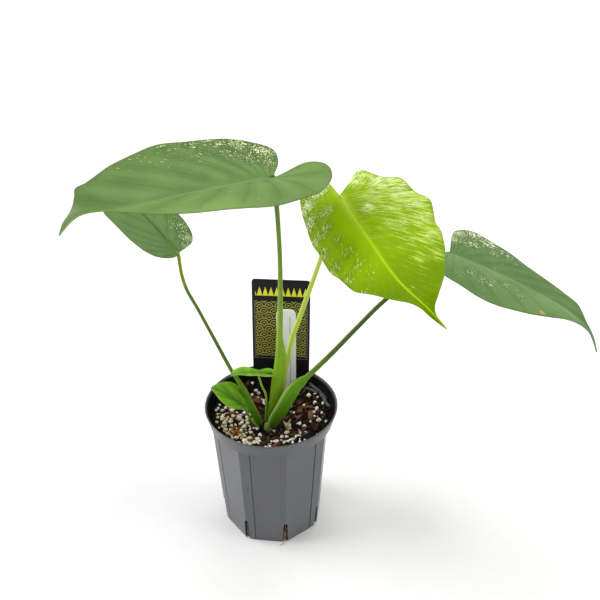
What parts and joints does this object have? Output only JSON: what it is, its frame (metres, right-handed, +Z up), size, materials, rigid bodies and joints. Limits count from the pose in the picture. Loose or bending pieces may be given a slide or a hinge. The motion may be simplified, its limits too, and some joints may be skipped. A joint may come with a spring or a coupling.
{
  "type": "potted devil monster monstera",
  "caption": "Young monstera with speckled heart-shaped drip-tipped leaves on long sheathed stalks, in a grey pot with slits at its foot, filled with bark and perlite, with labels.",
  "frame": {"origin": "centre of the pot's flat base", "axes": "+Z up, -Y towards the viewer of the picture, +X to the viewer's right"},
  "size_m": [0.4022, 0.2609, 0.3707],
  "materials": {
    "pot_plastic": "satin moulded grey plastic, darker inside",
    "potting_mix": "damp dark bark with pale perlite grains",
    "stalk_green": "smooth waxy green stalk",
    "stalk_lime": "smooth waxy yellow-green stalk",
    "leaf_green": "leathery green leaf with cream speckles, soft sheen",
    "leaf_lime": "leathery lime leaf with cream streaks, soft sheen",
    "label_black": "satin black plastic card with a plain printed border",
    "label_white": "satin white plastic"
  },
  "bodies": {
    "root": {"pot": "pot_plastic", "soil": "potting_mix", "crown_stem": "stalk_green", "leaf_1": "leaf_green", "leaf_2": "leaf_green", "leaf_3": "leaf_lime", "leaf_4": "leaf_green", "small_leaf_a": "leaf_green", "small_leaf_b": "leaf_green", "petiole_1": "stalk_green", "petiole_2": "stalk_green", "petiole_3": "stalk_lime", "petiole_4": "stalk_green", "small_petiole_a": "stalk_green", "small_petiole_b": "stalk_green", "label_card": "label_black", "label_stake": "label_white"}
  },
  "joints": []
}
